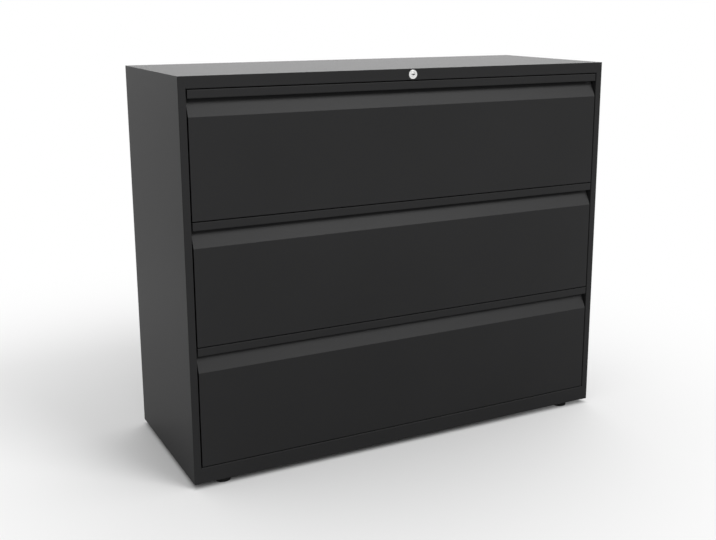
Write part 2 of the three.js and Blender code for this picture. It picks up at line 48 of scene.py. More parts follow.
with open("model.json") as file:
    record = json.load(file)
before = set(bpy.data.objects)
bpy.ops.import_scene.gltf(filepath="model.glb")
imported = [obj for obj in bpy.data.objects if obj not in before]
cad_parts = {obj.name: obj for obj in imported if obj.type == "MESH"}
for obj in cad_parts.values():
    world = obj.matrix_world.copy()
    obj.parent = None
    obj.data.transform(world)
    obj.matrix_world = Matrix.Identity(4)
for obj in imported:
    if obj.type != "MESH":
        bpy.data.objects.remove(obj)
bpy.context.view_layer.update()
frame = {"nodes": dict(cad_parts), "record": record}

MM = 0.001
SIDES = (("left", -1), ("right", 1))
ENDS = ("front", "rear")
DRAWERS = ("drawer_1", "drawer_2", "drawer_3")
FINISHES = {
    "paint": "powder_coat",
    "zinc": "zinc_plate",
    "chrome": "satin_nickel",
    "foot_plastic": "moulded_nylon",
}

# Limits for picking faces and edges, facets of round pieces, and how far a cutter reaches past a face
HAIR = 0.01 * MM
END_FACE = 1e-5
SMALL_END_FACE = 1e-6
FACING = 0.999
SHARP = math.radians(40)
FINE_ROUND = 96
MIDDLE_ROUND = 64
SMALL_ROUND = 32
HEXAGON = 6
NUT_SMOOTH = 30
CUT_OVERRUN = 1.0 * MM

# Sheet and seams
SHEET = 1.25 * MM
CLEAR_OF_SHEET = 1.3 * MM
SEAM_WIDTH = 1.75 * MM
SEAM_DEPTH = 1.4 * MM
SEAM_EDGE = 0.1 * MM

# Lock
BEZEL_FLANGE = 2.75 * MM
BEZEL_BAND = 3.6 * MM
GROOVE_SLOPE = 0.3 * MM
BEZEL_LAND = 1.4 * MM
BARREL_RADIUS = 9.0 * MM
BARREL_WALL = 2.8 * MM
PLUG_EDGE = 0.35 * MM
PLUG_TAIL = 2.25 * MM
TAIL_RADIUS = 3.0 * MM
KEYWAY_DEEP = 12.0 * MM
KEYWAY_CORNER = 0.5 * MM
WARD_CORNER = 0.2 * MM
WARD_ACROSS = (0.05, 0.45)
WARD_UP = (-1.7, 0.5)
LOCK_NUT_RADIUS = 12.0 * MM
LOCK_NUT_H = 5.0 * MM
LOCK_NUT_FACE = 1.3 * MM
LOCK_NUT_EDGE = 0.5 * MM

# Feet
PAD_H = 10.0 * MM
PAD_EDGE = 1.8 * MM
COLLAR_RADIUS = 9.0 * MM
COLLAR_H = 1.2 * MM
STUD_RADIUS = 5.0 * MM
THREAD_PITCH = 1.5 * MM
THREAD_ROOT = 0.86
FOOT_NUT_H = 8.0 * MM
FOOT_NUT_FACE = 2.2 * MM
FOOT_NUT_EDGE = 0.6 * MM

# Screws, rivets and ribs
SEATED = 0.2 * MM
SCREW_PLACES = (0.12, 0.5, 0.88)
SCREW_H = 1.7 * MM
SCREW_CROWN = 1.0 * MM
CROSS_ARM = 0.26
CROSS_BLADE = 0.5 * MM
CROSS_SINK = 0.9 * MM
RIVET_COUNT = 7
RIVET_REACH = 0.52
RIVET_H = 1.2 * MM
RIVET_CROWN = 0.9 * MM
RIVET_PIN = 1.3 * MM
PIN_SLOPE = 0.25 * MM
PIN_SINK = 0.5 * MM
RIB_REACH = 0.4
RIB_ROOT = 0.3 * MM
RIB_SHOULDER = 0.5 * MM
RIB_END = 0.49
RIB_CROWN = 0.9

# Finishes
MIX_FACTOR, MIX_FIRST, MIX_SECOND, MIX_RESULT = 0, 6, 7, 2
NOISE_MIDDLE = (0.3, 0.7)
PAINT_PATCH = 0.35
PAINT_ROUGHNESS_SPREAD = 0.05
PAINT_IOR = 1.28
ZINC_PATCH = 30.0 * MM
ZINC_STREAK = 20.0 * MM
ZINC_STREAK_STRETCH = (60.0, 1.0, 60.0)
ZINC_STREAK_H = 0.02 * MM
NICKEL_HAZE = 4.0 * MM
NICKEL_RINGS = 900.0
NICKEL_RING_H = 0.006 * MM
# Painted shade in the key slit: how far it reaches from the plug's middle and behind its face, and its
# near-black colour
SLIT_RADIUS = (5.2 * MM, 5.0 * MM)
SLIT_DEPTH = (0.1 * MM, 0.5 * MM)
SLIT_PAINTED_SHADE = (0.01, 0.01, 0.01, 1.0)
NYLON_GRAIN = 0.8 * MM
NYLON_GRAIN_H = 0.03 * MM
NYLON_IOR = 1.25

# Floor: its fade to white, the greys that shiny surfaces see with a painted shade ahead of the case, and the
# painted shade where it runs under the case
FLOOR_SIZE = 60.0
SHADE_MIDDLE = (-0.18, 0.19, 0.0)
SHADE_REACH = (0.43, 1.88)
BESIDE_MIDDLE = (-0.9, 0.7, 0.0)
BESIDE_REACH = (0.4, 2.0)
BESIDE_GREY = (0.555, 0.475)
AHEAD_MIDDLE = (0.2, -0.72, 0.0)
AHEAD_REACH = (0.3, 1.5)
AHEAD_REFLECTED_SHADE = (0.42, 1.0)
CONTACT_REACH = (-0.014, 0.009)
CONTACT_PAINTED_SHADE = (0.43, 0.8)
CONTACT_SHADED_GLOW = (0.54, 1.0)

# World, lamps and camera
WHITE = (1.0, 1.0, 1.0, 1.0)
WALL_BEHIND = (0.3, 0.8)
KEY_FROM = (0.42, -0.663, 0.62)
KEY_WIDTH = math.radians(28)
BACK_FROM = (0.45, 0.72, 0.4)
BACK_WIDTH = math.radians(50)
CAMERA_PLACE = (-1.25892, -2.44364, 1.15356)
CAMERA_TURN = (math.radians(77.24), 0.0, math.radians(-27.80))
CAMERA_SHIFT = (-0.0307, -0.0511)
SENSOR = 36.0


# Sizes and colours that a user would change

class CabinetPaint(bpy.types.PropertyGroup):
    """Powder coat of the sheet metal."""

    colour: FloatVectorProperty(
        name="Colour", description="Body colour of the powder coat",
        subtype="COLOR", size=3, min=0.0, max=1.0, default=(0.0160, 0.0160, 0.0164))
    roughness: FloatProperty(
        name="Roughness", description="Middle roughness of the satin coat",
        subtype="FACTOR", min=0.0, max=1.0, default=0.42)
    peel_size: FloatProperty(
        name="Orange peel width", description="Width of the ripples that the coat cures with",
        unit="LENGTH", min=0.0001, default=1.4 * MM)
    peel_height: FloatProperty(
        name="Orange peel height", description="Height of the ripples that the coat cures with",
        unit="LENGTH", min=0.0, default=0.012 * MM)


class CabinetMetal(bpy.types.PropertyGroup):
    """Bare metal and moulded finishes."""

    zinc: FloatVectorProperty(
        name="Zinc plate", description="Colour of the plated slides, rails and lock linkage",
        subtype="COLOR", size=3, min=0.0, max=1.0, default=(0.55, 0.56, 0.57))
    nickel: FloatVectorProperty(
        name="Satin nickel", description="Colour of the lock's face",
        subtype="COLOR", size=3, min=0.0, max=1.0, default=(0.88, 0.88, 0.87))
    nylon: FloatVectorProperty(
        name="Nylon", description="Colour of the moulded feet",
        subtype="COLOR", size=3, min=0.0, max=1.0, default=(0.006, 0.006, 0.006))


class CabinetLock(bpy.types.PropertyGroup):
    """Lock in the middle of the top rail."""

    bezel_edge: FloatProperty(
        name="Bezel edge", description="Rounding of the bezel's outer edge",
        unit="LENGTH", min=0.0, default=1.1 * MM)
    groove: FloatProperty(
        name="Bezel groove", description="Depth of the turned groove round the plug",
        unit="LENGTH", min=0.0, default=0.35 * MM)
    keyway_length: FloatProperty(
        name="Keyway length", description="Length of the slit for the key",
        unit="LENGTH", min=0.0, default=9.2 * MM)
    keyway_width: FloatProperty(
        name="Keyway width", description="Width of the slit for the key",
        unit="LENGTH", min=0.0, default=3.1 * MM)


class CabinetFittings(bpy.types.PropertyGroup):
    """Feet, screws, rivets, nuts and pressed ribs."""

    screw_head: FloatProperty(
        name="Screw head", description="Diameter of the pan heads in the drawer slides",
        unit="LENGTH", min=0.0, default=8.0 * MM)
    rivet_head: FloatProperty(
        name="Rivet head", description="Diameter of the rivet heads along the foot of the back",
        unit="LENGTH", min=0.0, default=8.0 * MM)
    nut_size: FloatProperty(
        name="Foot nut", description="Width across the corners of the weld nuts over the feet",
        unit="LENGTH", min=0.0, default=19.0 * MM)
    rib_width: FloatProperty(
        name="Rib width", description="Width of the ribs pressed in a tray's bottom",
        unit="LENGTH", min=0.0, default=12.0 * MM)
    rib_height: FloatProperty(
        name="Rib height", description="Height of the ribs pressed in a tray's bottom",
        unit="LENGTH", min=0.0, default=1.6 * MM)
    rib_count: IntProperty(
        name="Ribs", description="Number of ribs across a tray's bottom", min=1, default=6)


class CabinetStudio(bpy.types.PropertyGroup):
    """Floor, lamps and camera."""

    dome: FloatProperty(
        name="Dome light", description="Strength of the even light from all round", min=0.0, default=0.89)
    room: FloatProperty(
        name="Reflected room", description="Brightness of the room in shiny surfaces", min=0.0, default=0.5)
    key: FloatProperty(
        name="Key light", description="Strength of the lamp from the front right", min=0.0, default=1.3)
    back: FloatProperty(
        name="Back light", description="Strength of the low broad lamp from behind", min=0.0, default=0.45)
    lens: FloatProperty(
        name="Lens", description="Focal length of the camera", unit="CAMERA", min=1.0, default=50.96)


# Modelling by operators

def select_only(piece):
    bpy.ops.object.select_all(action="DESELECT")
    piece.select_set(True)
    bpy.context.view_layer.objects.active = piece


def name_piece(piece, name):
    """Names a piece and its mesh, and puts its place in that mesh."""
    piece.name = name
    piece.data.name = name
    bpy.ops.object.transform_apply(location=True, rotation=True, scale=True)
    return piece


def start(add, name, **placing):
    """Adds a primitive with nothing else selected."""
    bpy.ops.object.select_all(action="DESELECT")
    add(**placing)
    return name_piece(bpy.context.active_object, name)


def start_box(name, low, high):
    """A cube stretched between two corners, as the start of a piece."""
    low, high = Vector(low), Vector(high)
    return start(bpy.ops.mesh.primitive_cube_add, name, size=1.0, location=(low + high) / 2, scale=high - low)


def start_round(name, radius, ends, vertices, axis, centre):
    """A cylinder between two heights along an axis, as the start of a piece."""
    quarter = math.pi / 2
    turn = {"X": (0.0, quarter, 0.0), "Y": (quarter, 0.0, 0.0), "Z": (0.0, 0.0, 0.0)}[axis]
    middle = Vector(centre)
    middle["XYZ".index(axis)] = sum(ends) / 2
    return start(
        bpy.ops.mesh.primitive_cylinder_add, name, vertices=vertices, radius=radius,
        depth=ends[1] - ends[0], location=middle, rotation=turn)


def edit(piece, mode):
    """Opens a piece in edit mode with nothing selected and gives its editing mesh."""
    select_only(piece)
    bpy.ops.object.mode_set(mode="EDIT")
    bpy.ops.mesh.select_mode(type=mode)
    bpy.ops.mesh.select_all(action="DESELECT")
    return bmesh.from_edit_mesh(piece.data)


def close_edit():
    bpy.ops.object.mode_set(mode="OBJECT")


def pick(piece, elements, wanted):
    """Selects the faces or edges that a test accepts, and stops where there are none."""
    found = [element for element in elements if wanted(element)]
    if not found:
        raise RuntimeError(f"{piece.name}: nothing to select")
    for element in found:
        element.select_set(True)
    bmesh.update_edit_mesh(piece.data)


def pick_faces(piece, wanted):
    pick(piece, edit(piece, "FACE").faces, wanted)


def pick_edges(piece, wanted):
    pick(piece, edit(piece, "EDGE").edges, wanted)


def faces_towards(direction, area=END_FACE):
    """Test for a face that looks along a direction and is larger than an area."""
    wanted = Vector(direction)
    return lambda face: face.normal.dot(wanted) > FACING and face.calc_area() > area


def sharp_edge(edge):
    return len(edge.link_faces) == 2 and edge.calc_face_angle(0.0) > SHARP


def edges_along(axis, length):
    """Test for an edge that spans more than a length along an axis."""
    place = "XYZ".index(axis)
    return lambda edge: abs(edge.verts[0].co[place] - edge.verts[1].co[place]) > length


def sharp_edges_at(axis, height):
    """Test for a sharp edge whose ends both lie at a height along an axis."""
    place = "XYZ".index(axis)
    return lambda edge: sharp_edge(edge) and all(abs(end.co[place] - height) < HAIR for end in edge.verts)


def bevel_edges(piece, wanted, width, segments):
    """Rounds the edges that a test accepts."""
    pick_edges(piece, wanted)
    bpy.ops.mesh.bevel(offset=width, segments=segments, affect="EDGES", clamp_overlap=True)
    close_edit()


def inset_face(piece, wanted, width, depth=0.0):
    """Insets the face that a test accepts, and sinks it by a depth."""
    pick_faces(piece, wanted)
    bpy.ops.mesh.inset(thickness=width, depth=0.0)
    if depth:
        bpy.ops.mesh.extrude_region_shrink_fatten(TRANSFORM_OT_shrink_fatten={"value": -depth})
    close_edit()


def extrude_face(piece, wanted, travel):
    """Extrudes the face that a test accepts."""
    pick_faces(piece, wanted)
    bpy.ops.mesh.extrude_region_move(TRANSFORM_OT_translate={"value": travel})
    close_edit()


def cut_out(piece, cutter):
    """Takes a cutter's shape out of a piece, and deletes the cutter."""
    cut = piece.modifiers.new("cut", "BOOLEAN")
    cut.operation = "DIFFERENCE"
    cut.solver = "EXACT"
    cut.object = cutter
    select_only(piece)
    bpy.ops.object.modifier_apply(modifier=cut.name)
    bpy.data.objects.remove(cutter)


def smooth(piece, degrees=35):
    select_only(piece)
    bpy.ops.object.shade_smooth_by_angle(angle=math.radians(degrees))


class Pattern:
    """A piece that is modelled at its first place and copied to the others, each copy with its own mesh."""

    def __init__(self, model):
        self.model = model
        self.first = None
        self.origin = None

    def at(self, name, place, *sizes):
        if self.first is None:
            self.first = self.model(name, place, *sizes)
            self.origin = place
            return self.first
        select_only(self.first)
        bpy.ops.object.duplicate(linked=False)
        bpy.ops.transform.translate(value=place - self.origin)
        return name_piece(bpy.context.active_object, name)


def fit_piece(piece, body, slot):
    """Gives a finished piece its slot's finish and the body that carries it."""
    piece.data.materials.clear()
    piece.data.materials.append(bpy.data.materials[FINISHES[slot]])
    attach(piece, body)


# Nodes of the finishes

def new_finish(slot):
    """A node material for a slot of the record, with its shader joined to the output."""
    finish = bpy.data.materials.new(FINISHES[slot])
    finish.use_nodes = True
    tree = finish.node_tree
    tree.nodes.clear()
    output = tree.nodes.new("ShaderNodeOutputMaterial")
    shader = tree.nodes.new("ShaderNodeBsdfPrincipled")
    tree.links.new(shader.outputs["BSDF"], output.inputs["Surface"])
    return tree, shader


def own_place(tree, location=(0.0, 0.0, 0.0), scale=(1.0, 1.0, 1.0)):
    """The piece's own coordinates, moved and stretched."""
    place = tree.nodes.new("ShaderNodeTexCoord")
    mapping = tree.nodes.new("ShaderNodeMapping")
    mapping.inputs["Location"].default_value = location
    mapping.inputs["Scale"].default_value = scale
    tree.links.new(place.outputs["Object"], mapping.inputs["Vector"])
    return mapping.outputs["Vector"]


def grain(tree, size, detail, stretch=(1.0, 1.0, 1.0)):
    """Noise of a size in metres on the piece's own coordinates."""
    texture = tree.nodes.new("ShaderNodeTexNoise")
    texture.inputs["Scale"].default_value = 1.0 / size
    texture.inputs["Detail"].default_value = detail
    tree.links.new(own_place(tree, scale=stretch), texture.inputs["Vector"])
    return texture.outputs["Fac"]


def ramp(tree, value, given, wanted=(0.0, 1.0), curve="LINEAR"):
    """Maps a range of a value to another range."""
    node = tree.nodes.new("ShaderNodeMapRange")
    node.interpolation_type = curve
    node.inputs["From Min"].default_value, node.inputs["From Max"].default_value = given
    node.inputs["To Min"].default_value, node.inputs["To Max"].default_value = wanted
    tree.links.new(value, node.inputs["Value"])
    return node.outputs["Result"]


def spread(tree, noise, low=0.0, high=1.0):
    """Stretches the middle of a noise over a range of values."""
    return ramp(tree, noise, NOISE_MIDDLE, (low, high))


def combine(tree, operation, first, second):
    node = tree.nodes.new("ShaderNodeMath")
    node.operation = operation
    tree.links.new(first, node.inputs[0])
    tree.links.new(second, node.inputs[1])
    return node.outputs["Value"]


def vector_step(tree, operation, place, other=(0.0, 0.0, 0.0)):
    node = tree.nodes.new("ShaderNodeVectorMath")
    node.operation = operation
    node.inputs[1].default_value = other
    tree.links.new(place, node.inputs[0])
    return node.outputs


def distance(tree, place):
    """Distance of a place from the origin."""
    return vector_step(tree, "LENGTH", place)["Value"]


def axes_of(tree, place):
    node = tree.nodes.new("ShaderNodeSeparateXYZ")
    tree.links.new(place, node.inputs["Vector"])
    return node.outputs


def mix_colours(tree, factor):
    node = tree.nodes.new("ShaderNodeMix")
    node.data_type = "RGBA"
    tree.links.new(factor, node.inputs[MIX_FACTOR])
    return node


def shade_between(tree, factor, colour, low, high):
    """A colour made darker and lighter along a noise."""
    node = mix_colours(tree, factor)
    node.inputs[MIX_FIRST].default_value = [channel * low for channel in colour] + [1.0]
    node.inputs[MIX_SECOND].default_value = [channel * high for channel in colour] + [1.0]
    return node.outputs[MIX_RESULT]


def raise_bumps(tree, height, rise):
    node = tree.nodes.new("ShaderNodeBump")
    node.inputs["Distance"].default_value = rise
    tree.links.new(height, node.inputs["Height"])
    return node.outputs["Normal"]


# Finishes

class CABINET_OT_paint(bpy.types.Operator):
    """Powder coat for the folded sheets: a satin dark grey with a fine orange peel."""

    bl_idname = "cabinet.paint"
    bl_label = "Powder coat"

    def execute(self, context):
        look = context.scene.cabinet_paint
        tree, shader = new_finish("paint")
        link = tree.links.new
        cloud = spread(tree, grain(tree, PAINT_PATCH, detail=3.0))
        link(shade_between(tree, cloud, look.colour, low=0.95, high=1.05), shader.inputs["Base Color"])
        speckle = grain(tree, look.peel_size / 2, detail=3.0)
        smoothest = look.roughness - PAINT_ROUGHNESS_SPREAD
        roughest = look.roughness + PAINT_ROUGHNESS_SPREAD
        link(spread(tree, speckle, smoothest, roughest), shader.inputs["Roughness"])
        peel = grain(tree, look.peel_size, detail=1.0)
        link(raise_bumps(tree, peel, look.peel_height), shader.inputs["Normal"])
        shader.inputs["IOR"].default_value = PAINT_IOR
        return {"FINISHED"}


class CABINET_OT_bare_finishes(bpy.types.Operator):
    """Zinc plate with drawn streaks, turned satin nickel with painted shade in its keyway, and moulded nylon.
    """

    bl_idname = "cabinet.bare_finishes"
    bl_label = "Metal and nylon finishes"

    def execute(self, context):
        look = context.scene.cabinet_metal
        self.zinc(look.zinc)
        self.nickel(look.nickel)
        self.nylon(look.nylon)
        return {"FINISHED"}

    def zinc(self, colour):
        tree, shader = new_finish("zinc")
        link = tree.links.new
        streak = grain(tree, ZINC_STREAK, detail=4.0, stretch=ZINC_STREAK_STRETCH)
        patch = spread(tree, grain(tree, ZINC_PATCH, detail=2.0))
        link(shade_between(tree, patch, colour, low=0.9, high=1.06), shader.inputs["Base Color"])
        link(spread(tree, streak, low=0.26, high=0.44), shader.inputs["Roughness"])
        link(raise_bumps(tree, streak, ZINC_STREAK_H), shader.inputs["Normal"])
        shader.inputs["Metallic"].default_value = 1.0

    def nickel(self, colour):
        low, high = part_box("lock_plug")
        tree, shader = new_finish("chrome")
        link = tree.links.new
        place = own_place(tree, location=-Vector(((low.x + high.x) / 2, low.y, (low.z + high.z) / 2)))
        rings = tree.nodes.new("ShaderNodeTexWave")
        rings.wave_type = "RINGS"
        rings.rings_direction = "Y"
        rings.inputs["Scale"].default_value = NICKEL_RINGS
        rings.inputs["Distortion"].default_value = 0.6
        link(place, rings.inputs["Vector"])
        link(raise_bumps(tree, rings.outputs["Fac"], NICKEL_RING_H), shader.inputs["Normal"])
        haze = spread(tree, grain(tree, NICKEL_HAZE, detail=2.0))
        # The walls of the slit are turned near black: painted shade, not a colour of the nickel
        shaded_slit = self.painted_slit_shade(tree, place)
        dark = mix_colours(tree, shaded_slit)
        link(shade_between(tree, haze, colour, low=0.94, high=1.04), dark.inputs[MIX_FIRST])
        dark.inputs[MIX_SECOND].default_value = SLIT_PAINTED_SHADE
        link(dark.outputs[MIX_RESULT], shader.inputs["Base Color"])
        turned = spread(tree, rings.outputs["Fac"], low=0.24, high=0.34)
        link(combine(tree, "MAXIMUM", turned, shaded_slit), shader.inputs["Roughness"])
        shader.inputs["Metallic"].default_value = 0.5

    def painted_slit_shade(self, tree, place):
        """Mask for the painted shade: one on the walls of the slit for the key, behind the plug's face and
        within its rim.
        """
        across = vector_step(tree, "MULTIPLY", place, (1.0, 0.0, 1.0))["Vector"]
        near = ramp(tree, distance(tree, across), SLIT_RADIUS)
        deep = ramp(tree, axes_of(tree, place)["Y"], SLIT_DEPTH)
        return combine(tree, "MULTIPLY", near, deep)

    def nylon(self, colour):
        tree, shader = new_finish("foot_plastic")
        link = tree.links.new
        texture = grain(tree, NYLON_GRAIN, detail=2.0)
        link(shade_between(tree, texture, colour, low=0.8, high=1.3), shader.inputs["Base Color"])
        link(spread(tree, texture, low=0.5, high=0.65), shader.inputs["Roughness"])
        link(raise_bumps(tree, texture, NYLON_GRAIN_H), shader.inputs["Normal"])
        shader.inputs["IOR"].default_value = NYLON_IOR


class CABINET_OT_dress_nodes(bpy.types.Operator):
    """Gives every CAD node the finish of its slot."""

    bl_idname = "cabinet.dress_nodes"
    bl_label = "Finish the CAD nodes"

    def execute(self, context):
        for part in frame["record"]["subparts"]:
            for slot in frame["nodes"][part["node"]].material_slots:
                slot.material = bpy.data.materials[FINISHES[part["material_slot"]]]
        return {"FINISHED"}


# Pieces

class CABINET_OT_weld_seams(bpy.types.Operator):
    """Ground weld seams that close the groove where the rails butt against the stiles."""

    bl_idname = "cabinet.weld_seams"
    bl_label = "Weld seams"

    def execute(self, context):
        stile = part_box("plinth_rail")[1].x
        for rail, short in (("top_panel", CLEAR_OF_SHEET), ("plinth_rail", SEAM_WIDTH)):
            low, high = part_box(rail)
            for word, side in SIDES:
                inner, outer = sorted((side * stile, side * (stile + SEAM_WIDTH)))
                seam = start_box(
                    f"{rail}_weld_{word}", (inner, low.y, low.z + SEAM_WIDTH),
                    (outer, low.y + SEAM_DEPTH, high.z - short))
                bevel_edges(seam, edges_along("Z", SEAM_WIDTH), SEAM_EDGE, segments=2)
                fit_piece(seam, "case", "paint")
        return {"FINISHED"}


class CABINET_OT_lock_face(bpy.types.Operator):
    """Turned lock bezel with its barrel, the plug with its keyway, and the nut behind the rail."""

    bl_idname = "cabinet.lock_face"
    bl_label = "Lock"

    def execute(self, context):
        sizes = context.scene.cabinet_lock
        self.bezel(sizes)
        self.plug(sizes)
        self.nut()
        return {"FINISHED"}

    def bezel(self, sizes):
        low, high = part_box("lock_housing")
        centre = (low + high) / 2
        radius = (high.x - low.x) / 2
        seat = low.y + BEZEL_FLANGE
        bezel = start_round("lock_bezel", radius, (low.y, seat), FINE_ROUND, "Y", centre)
        front, rear = faces_towards((0, -1, 0)), faces_towards((0, 1, 0))
        inset_face(bezel, rear, radius - BARREL_RADIUS)
        extrude_face(bezel, rear, (0, high.y - seat, 0))
        inset_face(bezel, rear, BARREL_WALL)
        inset_face(bezel, front, BEZEL_BAND)
        inset_face(bezel, front, GROOVE_SLOPE, sizes.groove)
        inset_face(bezel, front, BEZEL_LAND)
        pick_faces(bezel, lambda face: len(face.verts) == FINE_ROUND)
        bpy.ops.mesh.bridge_edge_loops()
        close_edit()
        at_front = sharp_edges_at("Y", low.y)

        def rim(edge):
            return at_front(edge) and (edge.verts[0].co - centre).xz.length > radius - HAIR

        bevel_edges(bezel, rim, sizes.bezel_edge, segments=5)
        smooth(bezel)
        fit_piece(bezel, "case", "chrome")
        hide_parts("lock_housing")

    def plug(self, sizes):
        low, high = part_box("lock_plug")
        centre = (low + high) / 2
        radius = (high.x - low.x) / 2
        shoulder = high.y - PLUG_TAIL
        plug = start_round("lock_cylinder", radius, (low.y, shoulder), FINE_ROUND, "Y", centre)
        rear = faces_towards((0, 1, 0))
        inset_face(plug, rear, radius - TAIL_RADIUS)
        extrude_face(plug, rear, (0, high.y - shoulder, 0))
        bevel_edges(plug, sharp_edges_at("Y", low.y), PLUG_EDGE, segments=3)
        half_length, half_width = sizes.keyway_length / 2, sizes.keyway_width / 2
        face = Vector((0.0, low.y, centre.z))
        slit = [(-half_length, half_length), (-half_width, half_width)]
        self.cut_slit(plug, "keyway", face, slit, KEYWAY_CORNER, segments=3)
        ward = [[half_length * share for share in WARD_ACROSS], [half_width * share for share in WARD_UP]]
        self.cut_slit(plug, "ward", face, ward, WARD_CORNER, segments=2)
        smooth(plug)
        fit_piece(plug, "lock_plug", "chrome")
        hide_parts("lock_plug")

    def cut_slit(self, plug, name, face, spans, corner, segments):
        """Cuts a slit with round corners into the plug's face, by its spans across and up."""
        across, up = spans
        low = face + Vector((across[0], -CUT_OVERRUN, up[0]))
        high = face + Vector((across[1], KEYWAY_DEEP, up[1]))
        cutter = start_box(name, low, high)
        bevel_edges(cutter, edges_along("Y", KEYWAY_DEEP), corner, segments)
        cut_out(plug, cutter)

    def nut(self):
        low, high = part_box("lock_housing")
        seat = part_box("top_panel")[0].y + CLEAR_OF_SHEET
        centre = (low + high) / 2
        nut = start_round("lock_nut", LOCK_NUT_RADIUS, (seat, seat + LOCK_NUT_H), HEXAGON, "Y", centre)
        for direction in ((0, -1, 0), (0, 1, 0)):
            inset_face(nut, faces_towards(direction), LOCK_NUT_FACE)
        bevel_edges(nut, sharp_edge, LOCK_NUT_EDGE, segments=2)
        smooth(nut, NUT_SMOOTH)
        fit_piece(nut, "case", "zinc")


class CABINET_OT_feet(bpy.types.Operator):
    """Levelling feet: a moulded pad, its collar and a threaded stud, with the weld nuts over them."""

    bl_idname = "cabinet.feet"
    bl_label = "Levelling feet"

    def execute(self, context):
        corners = context.scene.cabinet_fittings.nut_size
        pads = Pattern(self.foot)
        nuts = Pattern(self.nut)
        for end in ENDS:
            for word, _ in SIDES:
                node = f"foot_{end}_{word}"
                low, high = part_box(node)
                place = (low + high) / 2
                pad = pads.at(f"{node}_pad", place, low, high)
                nut = nuts.at(f"{node}_nut", place, corners)
                fit_piece(pad, node, "foot_plastic")
                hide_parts(node)
                fit_piece(nut, "case", "zinc")
        return {"FINISHED"}

    def foot(self, name, place, low, high):
        radius = (high.x - low.x) / 2
        pad_top = low.z + PAD_H
        foot = start_round(name, radius, (low.z, pad_top), MIDDLE_ROUND, "Z", place)
        top = faces_towards((0, 0, 1))
        bevel_edges(foot, sharp_edge, PAD_EDGE, segments=4)
        inset_face(foot, top, radius - PAD_EDGE - COLLAR_RADIUS)
        extrude_face(foot, top, (0, 0, COLLAR_H))
        inset_face(foot, top, COLLAR_RADIUS - STUD_RADIUS)
        turns = int((high.z - pad_top - COLLAR_H) / THREAD_PITCH)
        for _ in range(turns):
            for size in (THREAD_ROOT, 1 / THREAD_ROOT):
                self.thread_step(foot, top, size, place)
        smooth(foot)
        return foot

    def thread_step(self, foot, top, size, axis):
        """Raises the stud's end by half a pitch and narrows or widens it."""
        rise = THREAD_PITCH / 2
        highest = max(vertex.co.z for vertex in foot.data.vertices)
        pick_faces(foot, lambda face: top(face) and face.calc_center_median().z > highest - HAIR)
        bpy.ops.mesh.extrude_region_move(TRANSFORM_OT_translate={"value": (0, 0, rise)})
        bpy.ops.transform.resize(value=(size, size, 1), center_override=(axis.x, axis.y, highest + rise))
        close_edit()

    def nut(self, name, place, corners):
        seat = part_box("plinth_rail")[0].z + CLEAR_OF_SHEET
        nut = start_round(name, corners / 2, (seat, seat + FOOT_NUT_H), HEXAGON, "Z", place)
        inset_face(nut, faces_towards((0, 0, 1)), FOOT_NUT_FACE)
        bevel_edges(nut, sharp_edge, FOOT_NUT_EDGE, segments=2)
        smooth(nut, NUT_SMOOTH)
        return nut


class CABINET_OT_slide_screws(bpy.types.Operator):
    """Cross-head screws that hold the drawer slides to the trays."""

    bl_idname = "cabinet.slide_screws"
    bl_label = "Slide screws"

    def execute(self, context):
        diameter = context.scene.cabinet_fittings.screw_head
        for word, side in SIDES:
            screws = Pattern(self.screw)
            for drawer in DRAWERS:
                low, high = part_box(f"{drawer}_{word}_drawer_slide")
                web = side * (min(abs(low.x), abs(high.x)) + SHEET)
                middle = (low + high) / 2
                for number, share in enumerate(SCREW_PLACES, 1):
                    place = Vector((web, low.y + share * (high.y - low.y), middle.z))
                    head = screws.at(f"{drawer}_{word}_screw_{number}", place, side, diameter)
                    fit_piece(head, drawer, "zinc")
        return {"FINISHED"}

    def screw(self, name, place, side, diameter):
        ends = sorted((place.x - side * SEATED, place.x + side * SCREW_H))
        head = start_round(name, diameter / 2, ends, SMALL_ROUND, "X", place)

        def crown(edge):
            return sharp_edge(edge) and (edge.verts[0].co.x - place.x) * side > 0

        bevel_edges(head, crown, SCREW_CROWN, segments=4)
        arm = diameter * CROSS_ARM
        bottom, top = SCREW_H - CROSS_SINK, SCREW_H + CUT_OVERRUN
        inner, outer = sorted((place.x + side * bottom, place.x + side * top))
        for half_y, half_z in ((arm, CROSS_BLADE), (CROSS_BLADE, arm)):
            low = (inner, place.y - half_y, place.z - half_z)
            high = (outer, place.y + half_y, place.z + half_z)
            cut_out(head, start_box("cross", low, high))
        smooth(head)
        return head


class CABINET_OT_back_rivets(bpy.types.Operator):
    """Domed rivets that hold the back panel to the rear base rail."""

    bl_idname = "cabinet.back_rivets"
    bl_label = "Back rivets"

    def execute(self, context):
        radius = context.scene.cabinet_fittings.rivet_head / 2
        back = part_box("back_panel")[1].y
        low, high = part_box("rear_base_rail")
        rivets = Pattern(self.rivet)
        for number in range(RIVET_COUNT):
            share = 2 * number / (RIVET_COUNT - 1) - 1
            place = Vector((RIVET_REACH * share, back, (low.z + high.z) / 2))
            rivet = rivets.at(f"back_rivet_{number + 1}", place, radius)
            fit_piece(rivet, "case", "zinc")
        return {"FINISHED"}

    def rivet(self, name, place, radius):
        rivet = start_round(name, radius, (place.y - SEATED, place.y + RIVET_H), SMALL_ROUND, "Y", place)
        end = faces_towards((0, 1, 0), SMALL_END_FACE)
        bevel_edges(rivet, sharp_edges_at("Y", place.y + RIVET_H), RIVET_CROWN, segments=4)
        inset_face(rivet, end, radius - RIVET_CROWN - RIVET_PIN)
        inset_face(rivet, end, PIN_SLOPE, PIN_SINK)
        smooth(rivet)
        return rivet


